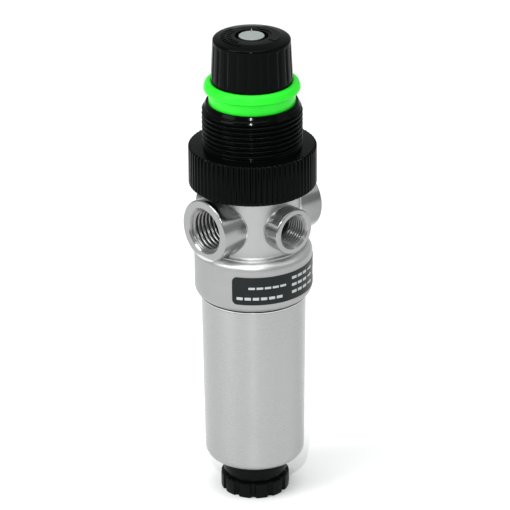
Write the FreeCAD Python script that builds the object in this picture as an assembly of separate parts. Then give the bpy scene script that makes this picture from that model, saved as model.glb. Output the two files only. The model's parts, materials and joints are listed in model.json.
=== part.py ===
"""Miniature air filter/regulator, modelled as the separate pieces that come apart on a bench.

Millimetres, +Z up. The origin is the centre of the drain knob's lower face, on the main axis.
The main ports lie along X (inlet at -X, outlet at +X) and the gauge ports along Y.
"""
import FreeCAD
import Part

import math
import os

Vector = FreeCAD.Vector
UP = Vector(0, 0, 1)

# ---------------------------------------------------------------- driving dimensions
# Fits, all radial unless named otherwise
RUNNING = 0.05
RING_FIT = 0.07
THREAD_FIT = 0.1
KEY_PLAY = 0.15
LOOSE = 0.4

# Heights of the stacked outer sections, from the bottom up
DRAIN_KNOB_HEIGHT = 4.9
DRAIN_KNOB_GAP = 0.3
DRAIN_FLANGE_HEIGHT = 6.1
BOWL_HEIGHT = 54.2
COLLAR_HEIGHT = 17.1
WAIST_HEIGHT = 19.2
SKIRT_HEIGHT = 12.5
NECK_HEIGHT = 13.8
RING_LIFT = 3.5
RING_FLANGE_HEIGHT = 2.9
KNOB_HEIGHT = 14.6

# Bowl
BOWL_TOP_RADIUS = 15.8
BOWL_TAPER = 0.6
BOWL_CORNER = 3.2
BOWL_WALL = 1.6
BOWL_FLOOR = 1.9
BOWL_SPIGOT = 10.5
BOWL_SEAL_GAP = 2.0
BOWL_BEAD = 0.45
BOWL_BEAD_HEIGHT = 0.6
BOWL_BEAD_GAP = 0.25

# Body
COLLAR_WALL = 1.9
COLLAR_TOP_FILLET = 2.4
COLLAR_LOWER_ROUND = 3.6
COLLAR_ROUND_OUT = 0.66
COLLAR_ROUND_UP = 0.38
SHOULDER_STEP = 0.3
WAIST_RADIUS = 14.1
WAIST_FILLET = 0.5
FLANGE_RISE = 4.15
FLANGE_GAP = 0.25

# Ports: 1/4 NPT through the inlet and outlet, 1/8 NPT for the two gauges
PORT_DROP = 10.35
MAIN_BOSS_RADIUS = 9.55
MAIN_BOSS_REACH = 19.5
MAIN_BORE_RADIUS = 6.81
MAIN_BORE_DEPTH = 10.0
MAIN_PASSAGE_RADIUS = 3.5
GAUGE_BOSS_RADIUS = 6.95
GAUGE_BOSS_REACH = 18.5
GAUGE_BORE_RADIUS = 5.12
GAUGE_BORE_DEPTH = 8.0
GAUGE_PASSAGE_RADIUS = 2.2
PORT_CHAMFER = 0.35
BOSS_LIP = 0.45
INLET_DROP_RADIUS = 2.2
INLET_DROP_INSET = 2.3
ASPIRATOR_RADIUS = 1.2
ASPIRATOR_OFFSET = 4.6

# Bonnet: ribbed skirt, threaded panel neck and the tower that guides the nut
SKIRT_RADIUS = 19.15
SKIRT_WALL = 2.15
SKIRT_RIBS = 72
SKIRT_RIB_DEPTH = 0.45
SKIRT_RIB_FLAT = 0.2
NECK_RADIUS = 15.0
NECK_WALL = 2.0
NECK_CHAMFER = 1.25
NECK_CHAMFER_HEIGHT = 2.4
TOWER_GAP = 0.9
TOWER_WALL = 1.4
TOWER_ROOF = 1.9
TOWER_RISE = 2.75

# Knob and lock ring
RING_WALL = 1.98
RING_SKIRT = 10.6
RING_FLANGE_REACH = 1.47
RING_UNDERCUT = 0.5
RING_UNDERCUT_HEIGHT = 0.3
RING_EDGE_HEIGHT = 0.5
RING_SHOULDER_DROP = 0.5
RING_SHOULDER_HEIGHT = 1.0
RING_MOUTH_CHAMFER = 0.15
KNOB_SHOULDER = 1.3
KNOB_TAPER = 0.6
KNOB_SINK = 0.45
KNOB_FOOT_BAND = 1.4
KNOB_EDGE_DROP = 0.95
KNOB_EDGE_ROUND = 0.6
KNOB_TOP_BAND = 2.2
KNOB_WALL = 1.0
KNOB_SLEEVE = 6.0
KNOB_ROOF = 3.5
KNOB_HUB_RADIUS = 5.2
KNOB_FLUTES = 22
KNOB_FLUTE_RADIUS = 1.4
KNOB_FLUTE_DEPTH = 0.25
CROWN_WIDTH = 3.2
DISC_RADIUS = 3.8
DISC_GROOVE = 0.9
DISC_DEPTH = 1.2
DISC_SINK = 0.15

# Adjusting screw, its clip and washer, and the nut that compresses the spring
SCREW_RADIUS = 3.0
SCREW_FLANGE_RADIUS = 5.0
SCREW_FLANGE = 1.0
SCREW_HEX = 6.0
SCREW_POINT = 0.4
CLIP_THICKNESS = 0.7
CLIP_WIDTH = 1.7
CLIP_GROOVE = 0.7
CLIP_MOUTH = 3.4
WASHER_THICKNESS = 0.8
NUT_HEIGHT = 4.7
NUT_GAP = 0.3
NUT_TRAVEL = 4.5
NUT_KEY_WIDTH = 2.0
NUT_KEY_HEIGHT = 0.5
SPIGOT_HEIGHT = 1.4
SPRING_WIRE_RADIUS = 0.75
SPRING_GAP = 1.25
SPRING_TURNS = 5.5
HEAD_ROOM = 0.3

# Diaphragm stack
DIAPHRAGM_THICKNESS = 1.0
DIAPHRAGM_ROLL = 2.4
DIAPHRAGM_ROLL_RISE = 0.75
ROLL_INNER_HALF = 0.8
ROLL_OUTER_HALF = 1.0
DIAPHRAGM_ROOM = 3.6
SLIP_RING_THICKNESS = 0.8
SLIP_RING_INSET = 0.6
CHAMBER_DEPTH = 3.4
PLATE_RADIUS = 9.6
PLATE_THICKNESS = 1.5
RELIEF_RADIUS = 7.5
RELIEF_THICKNESS = 1.3
RELIEF_STEM_RADIUS = 2.0
RELIEF_STEM_RISE = 1.2
RELIEF_VENT_RADIUS = 0.9

# Valve
VALVE_TRAVEL = 1.2
OUTLET_CHAMBER_RADIUS = 7.0
OUTLET_CHAMBER_FLOOR = 4.1
OUTLET_CHAMBER_ROOF = 6.0
SEAT_LEDGE = 1.0
SEAT_LEDGE_HEIGHT = 1.4
SEAT_HEIGHT = 2.4
SEAT_LIP = 0.4
SEAT_LIP_WIDTH = 0.7
SEAT_ORIFICE_RADIUS = 2.4
PIN_RADIUS = 1.1
POPPET_RADIUS = 4.2
POPPET_DISC = 1.2
POPPET_GAP = 0.5
POPPET_STEM_RADIUS = 1.6
POPPET_STEM_LENGTH = 9.6
SEAL_DISC_THICKNESS = 1.0
SEAL_INSET = 0.4
NOSE_RADIUS = 1.25
NOSE_RISE = 1.4
GUIDE_WALL = 0.8
GUIDE_FLANGE_RADIUS = 9.2
GUIDE_FLANGE = 1.4
GUIDE_FLOOR = 2.0
GUIDE_PASSAGES = 6
GUIDE_PASSAGE_RADIUS = 0.75
GUIDE_PASSAGE_OFFSET = 3.5
VALVE_SPRING_WIRE = 0.4
VALVE_SPRING_RADIUS = 2.7
VALVE_SPRING_TURNS = 3.5

# Filter
STUD_RADIUS = 2.5
STUD_CAP = 1.2
ELEMENT_OUTER_RADIUS = 8.5
ELEMENT_INNER_RADIUS = 5.5
ELEMENT_LENGTH = 27.0
DEFLECTOR_WALL = 0.9
DEFLECTOR_HUB_DROP = 2.0
DEFLECTOR_VANES = 10
DEFLECTOR_VANE_THICKNESS = 0.9
DEFLECTOR_VANE_HEIGHT = 3.6
DEFLECTOR_PITCH = 35
DEFLECTOR_MARGIN = 0.6
BAFFLE_MARGIN = 2.1
BAFFLE_HEIGHT = 5.5
BAFFLE_SLEEVE = 2.0
BAFFLE_RIM = 1.2
BAFFLE_SLOPE = 2.6

# Drain
DRAIN_KNOB_RADIUS = 10.5
DRAIN_KNOB_CHAMFER = 0.5
DRAIN_FLANGE_RADIUS = 9.8
DRAIN_LOBES = 12
DRAIN_NOTCH_RADIUS = 0.8
DRAIN_SPIGOT_RADIUS = 5.0
DRAIN_SPIGOT_RISE = 6.2
DRAIN_SEAT = 2.0
DRAIN_OUTLET_RADIUS = 1.5
DRAIN_BORE_RADIUS = 2.6
DRAIN_STEM_RADIUS = 2.0
DRAIN_STEM_FOOT = 0.6
DRAIN_NOSE_RADIUS = 0.9
DRAIN_HOLE_RADIUS = 0.8
DRAIN_HOLE_DEPTH = 4.0
DRAIN_SEAL_HEIGHT = 1.0
DRAIN_SEAL_WALL = 0.2
DRAIN_NUT_FLATS = 14.0
DRAIN_NUT_HEIGHT = 3.0
GASKET_WIRE_RADIUS = 0.75
GASKET_SQUEEZE = 0.7
GASKET_INSET = 0.6

# Label round the collar, centred on the gauge port at -Y
LABEL_HEIGHT = 8.9
LABEL_THICKNESS = 0.12
LABEL_HALF_ANGLE = 62.5
LABEL_TOP_MARGIN = 4.3

# How far a cutter runs past the face that it opens
PAST = 1.0

# ---------------------------------------------------------------- radii that follow
COLLAR_RADIUS = BOWL_TOP_RADIUS + THREAD_FIT + COLLAR_WALL
BOWL_BEAD_RADIUS = BOWL_TOP_RADIUS + BOWL_BEAD
BOWL_BORE_RADIUS = BOWL_TOP_RADIUS - BOWL_WALL
BOWL_BOTTOM_RADIUS = BOWL_TOP_RADIUS - BOWL_TAPER
FLANGE_RADIUS = SKIRT_RADIUS - SKIRT_WALL - THREAD_FIT
NECK_BORE_RADIUS = NECK_RADIUS - NECK_WALL
RING_OUTER_RADIUS = NECK_BORE_RADIUS - RING_FIT
RING_INNER_RADIUS = RING_OUTER_RADIUS - RING_WALL
RING_FLANGE_RADIUS = RING_OUTER_RADIUS + RING_FLANGE_REACH
KNOB_SLEEVE_RADIUS = RING_INNER_RADIUS - RUNNING
KNOB_FOOT_RADIUS = KNOB_SLEEVE_RADIUS + KNOB_SHOULDER
KNOB_TOP_RADIUS = KNOB_FOOT_RADIUS - KNOB_TAPER
RING_MOUTH_RADIUS = KNOB_FOOT_RADIUS + LOOSE
KNOB_CAVITY_RADIUS = KNOB_SLEEVE_RADIUS - KNOB_WALL
TOWER_RADIUS = KNOB_CAVITY_RADIUS - TOWER_GAP
TOWER_BORE_RADIUS = TOWER_RADIUS - TOWER_WALL
NUT_RADIUS = TOWER_BORE_RADIUS - NUT_GAP
NUT_KEY_REACH = TOWER_BORE_RADIUS + NUT_KEY_HEIGHT
SPRING_MEAN_RADIUS = TOWER_BORE_RADIUS - SPRING_GAP - SPRING_WIRE_RADIUS
SPRING_BORE_RADIUS = SPRING_MEAN_RADIUS - SPRING_WIRE_RADIUS
CHAMBER_RADIUS = PLATE_RADIUS + DIAPHRAGM_ROLL
GUIDE_CAVITY_RADIUS = POPPET_RADIUS + POPPET_GAP
VALVE_BORE_RADIUS = GUIDE_CAVITY_RADIUS + GUIDE_WALL + THREAD_FIT
DEFLECTOR_RADIUS = BOWL_BORE_RADIUS - DEFLECTOR_MARGIN
BAFFLE_RADIUS = BOWL_BOTTOM_RADIUS - BOWL_WALL - BAFFLE_MARGIN

# ---------------------------------------------------------------- levels that follow
z_drain_flange = DRAIN_KNOB_HEIGHT + DRAIN_KNOB_GAP
z_bowl = z_drain_flange + DRAIN_FLANGE_HEIGHT
z_collar = z_bowl + BOWL_HEIGHT
z_shoulder = z_collar + COLLAR_HEIGHT
z_skirt = z_shoulder + WAIST_HEIGHT
z_skirt_top = z_skirt + SKIRT_HEIGHT
z_neck_top = z_skirt_top + NECK_HEIGHT
z_ring_flange = z_neck_top + RING_LIFT
z_ring_top = z_ring_flange + RING_FLANGE_HEIGHT
z_port = z_skirt - PORT_DROP

z_bowl_floor = z_bowl + BOWL_FLOOR
z_drain_seat = z_bowl + DRAIN_SPIGOT_RISE - DRAIN_SEAT
z_gasket = z_bowl - 2 * GASKET_WIRE_RADIUS * GASKET_SQUEEZE
z_bowl_top = z_collar + BOWL_SPIGOT
z_ceiling = z_bowl_top + BOWL_SEAL_GAP

z_flange_top = z_skirt + FLANGE_RISE
z_chamber_floor = z_flange_top - CHAMBER_DEPTH
z_diaphragm_top = z_flange_top + DIAPHRAGM_THICKNESS
z_bonnet_seat = z_diaphragm_top + SLIP_RING_THICKNESS
z_spring_bottom = z_diaphragm_top + PLATE_THICKNESS
z_relief = z_flange_top - RELIEF_THICKNESS

z_tower_top = z_neck_top + TOWER_RISE
z_tower_ceiling = z_tower_top - TOWER_ROOF
z_washer = z_tower_ceiling - WASHER_THICKNESS
z_screw_flange = z_washer - SCREW_FLANGE
z_nut_top = z_screw_flange - NUT_GAP
z_nut = z_nut_top - NUT_HEIGHT
z_screw_tail = z_nut - NUT_TRAVEL - NUT_GAP
z_clip = z_tower_top + RUNNING
z_clip_top = z_clip + CLIP_THICKNESS

z_knob = z_ring_top - KNOB_SINK
z_knob_top = z_knob + KNOB_HEIGHT
z_knob_cavity = z_knob_top - KNOB_ROOF
z_knob_hub = z_clip_top + RING_LIFT + HEAD_ROOM
z_screw_top = z_knob_cavity - RING_LIFT - HEAD_ROOM
z_ring_bottom = z_ring_flange - RING_SKIRT
z_neck_floor = z_ring_bottom - RING_LIFT - HEAD_ROOM

z_outlet_floor = z_port - OUTLET_CHAMBER_FLOOR
z_outlet_roof = z_port + OUTLET_CHAMBER_ROOF
z_seat_ledge = z_outlet_floor - SEAT_LEDGE_HEIGHT
z_seat = z_seat_ledge - SEAT_HEIGHT
z_lip = z_seat - SEAT_LIP
z_poppet_top = z_lip - SEAL_DISC_THICKNESS
z_poppet = z_poppet_top - POPPET_DISC
z_nose = z_lip + NOSE_RISE
z_guide_floor_top = z_ceiling - GUIDE_FLANGE
z_guide = z_guide_floor_top - GUIDE_FLOOR
z_stem_end = z_poppet - POPPET_STEM_LENGTH
z_element = z_guide - ELEMENT_LENGTH
z_baffle = z_element - BAFFLE_HEIGHT
z_stud = z_baffle + STUD_CAP


# ---------------------------------------------------------------- small helpers
def cylinder(radius, bottom, top):
    return Part.makeCylinder(radius, top - bottom, Vector(0, 0, bottom), UP)


def cone(bottom_radius, top_radius, bottom, top):
    return Part.makeCone(bottom_radius, top_radius, top - bottom, Vector(0, 0, bottom), UP)


def tube(outer, inner, bottom, top):
    return cylinder(outer, bottom, top).cut(cylinder(inner, bottom - PAST, top + PAST))


def turned(outline):
    """Solid of revolution from a closed outline of (radius, height) points and arcs."""
    edges = []
    here = Vector(outline[0][0], 0, outline[0][1])
    start = here
    for step in outline[1:]:
        end = Vector(step[-2], 0, step[-1])
        if len(step) == 4:
            through = Vector(step[0], 0, step[1])
            edges.append(Part.Arc(here, through, end).toShape())
        else:
            edges.append(Part.LineSegment(here, end).toShape())
        here = end
    edges.append(Part.LineSegment(here, start).toShape())
    face = Part.Face(Part.Wire(edges))
    return face.revolve(Vector(0, 0, 0), UP, 360)


def arc_middle(centre_r, centre_z, radius, degrees):
    """Point on a round corner, as the (radius, height) that an arc passes through."""
    angle = math.radians(degrees)
    return centre_r + radius * math.cos(angle), centre_z + radius * math.sin(angle)


def along(direction, radius, start, end, height):
    """Cylinder that lies along a horizontal direction, from start to end of that axis."""
    axis = Vector(direction[0], direction[1], 0)
    base = axis * start + Vector(0, 0, height)
    return Part.makeCylinder(radius, end - start, base, axis)


def ring_of(shape, count, first=0.0):
    """Copies of a shape, evenly spaced round the main axis."""
    copies = []
    for index in range(count):
        copy = shape.copy()
        copy.rotate(Vector(0, 0, 0), UP, first + index * 360.0 / count)
        copies.append(copy)
    return copies


def hexagon(flats, bottom, top):
    radius = flats / 2 / math.cos(math.radians(30))
    corners = []
    for index in range(7):
        angle = math.radians(60 * index)
        corners.append(Vector(radius * math.cos(angle), radius * math.sin(angle), bottom))
    return Part.Face(Part.makePolygon(corners)).extrude(UP * (top - bottom))


def coil(mean_radius, wire_radius, bottom, top, turns):
    """Round-wire compression spring whose closed ends stay between two levels."""
    rise = top - bottom - 2 * wire_radius
    helix = Part.makeHelix(rise / turns, rise, mean_radius)
    helix.translate(Vector(0, 0, bottom + wire_radius))
    start = Vector(mean_radius, 0, bottom + wire_radius)
    tangent = Vector(0, 2 * math.pi * mean_radius, rise / turns)
    section = Part.Wire(Part.makeCircle(wire_radius, start, tangent))
    return Part.Wire(helix.Edges).makePipeShell([section], True, True)


def ring_seal(mean_radius, section_radius, bottom, top):
    """O-ring squeezed flat between two faces."""
    middle = (bottom + top) / 2
    ring = Part.makeTorus(mean_radius, section_radius, Vector(0, 0, middle), UP)
    slab = cylinder(mean_radius + 2 * section_radius, bottom, top)
    return ring.common(slab)


# ---------------------------------------------------------------- body and bonnet
def boss(direction, radius, reach):
    """Round port boss with a softened lip, from the main axis out to its face."""
    lip = arc_middle(radius - BOSS_LIP, reach - BOSS_LIP, BOSS_LIP, 45)
    solid = turned([
        (0, 0),
        (radius, 0),
        (radius, reach - BOSS_LIP),
        (*lip, radius - BOSS_LIP, reach),
        (0, reach),
    ])
    solid.rotate(Vector(0, 0, 0), Vector(-direction[1], direction[0], 0), 90)
    solid.translate(Vector(0, 0, z_port))
    return solid


def port_cuts(direction, radius, reach, depth):
    """Threaded port, drawn at its thread's major radius, with a small lead-in at the mouth."""
    axis = Vector(direction[0], direction[1], 0)
    base = axis * (reach - PORT_CHAMFER) + Vector(0, 0, z_port)
    mouth = Part.makeCone(radius, radius + 2 * PORT_CHAMFER, 2 * PORT_CHAMFER, base, axis)
    return [along(direction, radius, reach - depth, reach + PAST, z_port), mouth]


def body_core():
    """Waist, shoulder and collar as one turned blank."""
    bottom = z_collar + BOWL_BEAD_HEIGHT + BOWL_BEAD_GAP
    round_top = z_collar + COLLAR_LOWER_ROUND
    lower_middle = (
        BOWL_BEAD_RADIUS + (COLLAR_RADIUS - BOWL_BEAD_RADIUS) * COLLAR_ROUND_OUT,
        bottom + (round_top - bottom) * COLLAR_ROUND_UP,
    )
    step_radius = COLLAR_RADIUS - COLLAR_TOP_FILLET
    step_level = z_shoulder - SHOULDER_STEP
    round_centre = step_level - COLLAR_TOP_FILLET
    fillet_radius = WAIST_RADIUS + WAIST_FILLET
    fillet_level = z_shoulder + WAIST_FILLET
    return turned([
        (0, bottom),
        (BOWL_BEAD_RADIUS, bottom),
        (*lower_middle, COLLAR_RADIUS, round_top),
        (COLLAR_RADIUS, round_centre),
        (*arc_middle(step_radius, round_centre, COLLAR_TOP_FILLET, 45), step_radius, step_level),
        (step_radius, z_shoulder),
        (fillet_radius, z_shoulder),
        (*arc_middle(fillet_radius, fillet_level, WAIST_FILLET, 225), WAIST_RADIUS, fillet_level),
        (WAIST_RADIUS, z_skirt + FLANGE_GAP),
        (FLANGE_RADIUS, z_skirt + FLANGE_GAP),
        (FLANGE_RADIUS, z_flange_top),
        (0, z_flange_top),
    ])


def make_body():
    solid = body_core().fuse([
        boss((1, 0), MAIN_BOSS_RADIUS, MAIN_BOSS_REACH),
        boss((-1, 0), MAIN_BOSS_RADIUS, MAIN_BOSS_REACH),
        boss((0, 1), GAUGE_BOSS_RADIUS, GAUGE_BOSS_REACH),
        boss((0, -1), GAUGE_BOSS_RADIUS, GAUGE_BOSS_REACH),
    ])
    main_port_floor = MAIN_BOSS_REACH - MAIN_BORE_DEPTH
    gauge_port_floor = GAUGE_BOSS_REACH - GAUGE_BORE_DEPTH
    passage_start = OUTLET_CHAMBER_RADIUS - PAST
    cuts = [
        cylinder(BOWL_TOP_RADIUS + THREAD_FIT, z_collar - PAST, z_ceiling),
        cylinder(VALVE_BORE_RADIUS, z_ceiling - PAST, z_seat_ledge),
        cylinder(VALVE_BORE_RADIUS - SEAT_LEDGE, z_seat_ledge - PAST, z_outlet_floor + PAST),
        cylinder(OUTLET_CHAMBER_RADIUS, z_outlet_floor, z_outlet_roof),
        cylinder(PIN_RADIUS + RUNNING, z_outlet_roof - PAST, z_chamber_floor + PAST),
        cylinder(CHAMBER_RADIUS, z_chamber_floor, z_flange_top + PAST),
    ]
    for direction in ((1, 0), (-1, 0)):
        cuts += port_cuts(direction, MAIN_BORE_RADIUS, MAIN_BOSS_REACH, MAIN_BORE_DEPTH)
    for direction in ((0, 1), (0, -1)):
        cuts += port_cuts(direction, GAUGE_BORE_RADIUS, GAUGE_BOSS_REACH, GAUGE_BORE_DEPTH)
        cuts.append(along(direction, GAUGE_PASSAGE_RADIUS, passage_start, gauge_port_floor + PAST, z_port))
    cuts.append(along((1, 0), MAIN_PASSAGE_RADIUS, passage_start, main_port_floor + PAST, z_port))
    inlet_drop = cylinder(INLET_DROP_RADIUS, z_ceiling - PAST, z_port)
    inlet_drop.translate(Vector(-main_port_floor - INLET_DROP_INSET, 0, 0))
    aspirator = cylinder(ASPIRATOR_RADIUS, z_outlet_roof - PAST, z_chamber_floor + PAST)
    aspirator.translate(Vector(ASPIRATOR_OFFSET, 0, 0))
    return solid.cut(cuts + [inlet_drop, aspirator]).removeSplitter()


def ribbed_skirt():
    """Grip skirt with a flat-topped rib centred on each main direction."""
    valley = SKIRT_RADIUS - SKIRT_RIB_DEPTH
    crest = [(share, SKIRT_RADIUS) for share in (-SKIRT_RIB_FLAT, 0, SKIRT_RIB_FLAT)]
    points = []
    for index in range(SKIRT_RIBS):
        for share, radius in [(-0.5, valley)] + crest:
            angle = 2 * math.pi * (index + share) / SKIRT_RIBS
            points.append(Vector(radius * math.cos(angle), radius * math.sin(angle), z_skirt))
    points.append(points[0])
    return Part.Face(Part.makePolygon(points)).extrude(UP * SKIRT_HEIGHT)


def make_bonnet():
    neck = turned([
        (0, z_skirt_top - PAST),
        (NECK_RADIUS, z_skirt_top - PAST),
        (NECK_RADIUS, z_neck_top - NECK_CHAMFER_HEIGHT),
        (NECK_RADIUS - NECK_CHAMFER, z_neck_top),
        (0, z_neck_top),
    ])
    shell = ribbed_skirt().fuse(neck).cut([
        cylinder(FLANGE_RADIUS + THREAD_FIT, z_skirt - PAST, z_bonnet_seat),
        cylinder(CHAMBER_RADIUS, z_bonnet_seat - PAST, z_bonnet_seat + DIAPHRAGM_ROOM),
        cylinder(NECK_BORE_RADIUS, z_neck_floor, z_neck_top + PAST),
        cylinder(TOWER_BORE_RADIUS, z_bonnet_seat, z_neck_top + PAST),
    ])
    tower = tube(TOWER_RADIUS, TOWER_BORE_RADIUS, z_neck_floor - PAST, z_tower_ceiling)
    roof = tube(TOWER_RADIUS, SCREW_RADIUS + RUNNING, z_tower_ceiling, z_tower_top)
    reach = NUT_KEY_REACH + KEY_PLAY
    half_width = NUT_KEY_WIDTH / 2 + KEY_PLAY
    keyway = Part.makeBox(
        2 * reach, 2 * half_width, z_tower_ceiling - z_bonnet_seat, Vector(-reach, -half_width, z_bonnet_seat)
    )
    return shell.fuse([tower, roof]).cut(keyway).removeSplitter()


def make_label():
    bottom = z_shoulder - LABEL_TOP_MARGIN - LABEL_HEIGHT
    band = tube(COLLAR_RADIUS + LABEL_THICKNESS, COLLAR_RADIUS, bottom, bottom + LABEL_HEIGHT)
    reach = COLLAR_RADIUS * 3
    corners = [Vector(0, 0, bottom - PAST)]
    for share in (-1.0, -0.5, 0.0, 0.5, 1.0):
        angle = math.radians(-90 + share * LABEL_HALF_ANGLE)
        corners.append(Vector(reach * math.cos(angle), reach * math.sin(angle), bottom - PAST))
    corners.append(corners[0])
    wedge = Part.Face(Part.makePolygon(corners)).extrude(UP * (LABEL_HEIGHT + 2 * PAST))
    return band.common(wedge)


# ---------------------------------------------------------------- knob, ring and screw
def make_knob():
    rim_top = z_knob_top - KNOB_EDGE_DROP
    round_radius = KNOB_TOP_RADIUS - KNOB_EDGE_ROUND
    round_level = rim_top - KNOB_EDGE_ROUND
    outer = turned([
        (0, z_knob),
        (KNOB_FOOT_RADIUS, z_knob),
        (KNOB_FOOT_RADIUS, z_knob + KNOB_FOOT_BAND),
        (KNOB_TOP_RADIUS, round_level),
        (*arc_middle(round_radius, round_level, KNOB_EDGE_ROUND, 45), round_radius, rim_top),
        (DISC_RADIUS + DISC_GROOVE + CROWN_WIDTH, z_knob_top),
        (0, z_knob_top),
    ])
    sleeve = cylinder(KNOB_SLEEVE_RADIUS, z_knob - KNOB_SLEEVE, z_knob + PAST)
    cavity = cylinder(KNOB_CAVITY_RADIUS, z_knob - KNOB_SLEEVE - PAST, z_knob_cavity)
    hub = cylinder(KNOB_HUB_RADIUS, z_knob_hub, z_knob_cavity + PAST)
    solid = outer.fuse(sleeve).cut(cavity).fuse(hub)
    flute_offset = KNOB_FLUTE_RADIUS - KNOB_FLUTE_DEPTH
    flute_foot = Vector(KNOB_FOOT_RADIUS + flute_offset, 0, z_knob + KNOB_FOOT_BAND)
    flute_head = Vector(KNOB_TOP_RADIUS + flute_offset, 0, rim_top - KNOB_TOP_BAND)
    run = flute_head - flute_foot
    flute = Part.makeCylinder(KNOB_FLUTE_RADIUS, run.Length, flute_foot, run)
    cuts = [
        hexagon(SCREW_HEX + 2 * RUNNING, z_knob_hub - PAST, z_knob_cavity),
        cylinder(DISC_RADIUS + DISC_GROOVE, z_knob_top - DISC_DEPTH, z_knob_top + PAST),
    ]
    return solid.cut(cuts + ring_of(flute, KNOB_FLUTES)).removeSplitter()


def make_knob_disc():
    return cylinder(DISC_RADIUS, z_knob_top - DISC_DEPTH, z_knob_top - DISC_SINK)


def make_lock_ring():
    edge_top = z_ring_flange + RING_UNDERCUT_HEIGHT + RING_EDGE_HEIGHT
    return turned([
        (RING_INNER_RADIUS, z_ring_bottom),
        (RING_OUTER_RADIUS, z_ring_bottom),
        (RING_OUTER_RADIUS, z_ring_flange),
        (RING_FLANGE_RADIUS - RING_UNDERCUT, z_ring_flange),
        (RING_FLANGE_RADIUS, z_ring_flange + RING_UNDERCUT_HEIGHT),
        (RING_FLANGE_RADIUS, edge_top),
        (RING_FLANGE_RADIUS - RING_SHOULDER_DROP, edge_top + RING_SHOULDER_HEIGHT),
        (RING_MOUTH_RADIUS + 2 * RING_MOUTH_CHAMFER, z_ring_top),
        (RING_MOUTH_RADIUS + RING_MOUTH_CHAMFER, z_ring_top),
        (RING_MOUTH_RADIUS, z_ring_top - RING_MOUTH_CHAMFER),
        (RING_MOUTH_RADIUS, z_knob),
        (RING_INNER_RADIUS, z_knob),
    ])


def make_adjusting_screw():
    shaft = cylinder(SCREW_RADIUS, z_screw_tail, z_clip_top + HEAD_ROOM)
    flange = cylinder(SCREW_FLANGE_RADIUS, z_screw_flange, z_washer)
    point = cone(2 * SCREW_RADIUS, SCREW_RADIUS - SCREW_POINT, z_screw_top - SCREW_RADIUS, z_screw_top)
    blank = cylinder(2 * SCREW_RADIUS, z_clip_top, z_screw_top - SCREW_RADIUS).fuse(point)
    drive = hexagon(SCREW_HEX, z_clip_top, z_screw_top).common(blank)
    groove = tube(SCREW_RADIUS + PAST, SCREW_RADIUS - CLIP_GROOVE, z_clip, z_clip_top)
    return shaft.fuse([flange, drive]).cut(groove).removeSplitter()


def make_screw_clip():
    clip = tube(SCREW_RADIUS + CLIP_WIDTH, SCREW_RADIUS - CLIP_GROOVE + RUNNING, z_clip, z_clip_top)
    mouth = Part.makeBox(
        2 * SCREW_RADIUS, CLIP_MOUTH, CLIP_THICKNESS + 2 * PAST, Vector(0, -CLIP_MOUTH / 2, z_clip - PAST)
    )
    return clip.cut(mouth)


def make_thrust_washer():
    return tube(SCREW_FLANGE_RADIUS, SCREW_RADIUS + RUNNING, z_washer, z_tower_ceiling)


def make_spring_nut():
    key = Part.makeBox(
        2 * NUT_KEY_REACH, NUT_KEY_WIDTH, NUT_HEIGHT, Vector(-NUT_KEY_REACH, -NUT_KEY_WIDTH / 2, z_nut)
    )
    spigot = cylinder(SPRING_BORE_RADIUS - KEY_PLAY, z_nut - SPIGOT_HEIGHT, z_nut + PAST)
    thread = cylinder(SCREW_RADIUS + RUNNING, z_nut - SPIGOT_HEIGHT - PAST, z_nut_top + PAST)
    nut = cylinder(NUT_RADIUS, z_nut, z_nut_top).fuse([key, spigot])
    return nut.cut(thread).removeSplitter()


def make_regulating_spring():
    return coil(SPRING_MEAN_RADIUS, SPRING_WIRE_RADIUS, z_spring_bottom, z_nut, SPRING_TURNS)


# ---------------------------------------------------------------- diaphragm stack
def make_slip_ring():
    return tube(FLANGE_RADIUS - THREAD_FIT, CHAMBER_RADIUS + SLIP_RING_INSET, z_diaphragm_top, z_bonnet_seat)


def make_diaphragm():
    """Flat disc of even thickness with one rolled-up convolution between plate and flange."""
    bottom = z_flange_top
    top = z_diaphragm_top
    middle = PLATE_RADIUS + DIAPHRAGM_ROLL / 2
    rim = FLANGE_RADIUS - THREAD_FIT
    return turned([
        (RELIEF_STEM_RADIUS, bottom),
        (middle - ROLL_INNER_HALF, bottom),
        (middle, bottom + DIAPHRAGM_ROLL_RISE, middle + ROLL_INNER_HALF, bottom),
        (rim, bottom),
        (rim, top),
        (middle + ROLL_OUTER_HALF, top),
        (middle, top + DIAPHRAGM_ROLL_RISE, middle - ROLL_OUTER_HALF, top),
        (RELIEF_STEM_RADIUS, top),
    ])


def make_diaphragm_plate():
    disc = cylinder(PLATE_RADIUS, z_diaphragm_top, z_spring_bottom)
    spigot_top = z_spring_bottom + SPIGOT_HEIGHT
    spigot = cylinder(SPRING_BORE_RADIUS - KEY_PLAY, z_spring_bottom - PAST, spigot_top)
    bore = cylinder(RELIEF_STEM_RADIUS, z_diaphragm_top - PAST, spigot_top + PAST)
    return disc.fuse(spigot).cut(bore).removeSplitter()


def make_relief_seat():
    disc = cylinder(RELIEF_RADIUS, z_relief, z_flange_top)
    stem = cylinder(RELIEF_STEM_RADIUS, z_flange_top - PAST, z_spring_bottom + RELIEF_STEM_RISE)
    vent = cylinder(RELIEF_VENT_RADIUS, z_relief - PAST, z_spring_bottom + RELIEF_STEM_RISE + PAST)
    return disc.fuse(stem).cut(vent).removeSplitter()


# ---------------------------------------------------------------- valve
def make_valve_pin():
    tip_level = z_relief - PIN_RADIUS
    tip = Part.makeSphere(PIN_RADIUS, Vector(0, 0, tip_level))
    return cylinder(PIN_RADIUS, z_nose, tip_level).fuse(tip).removeSplitter()


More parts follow.
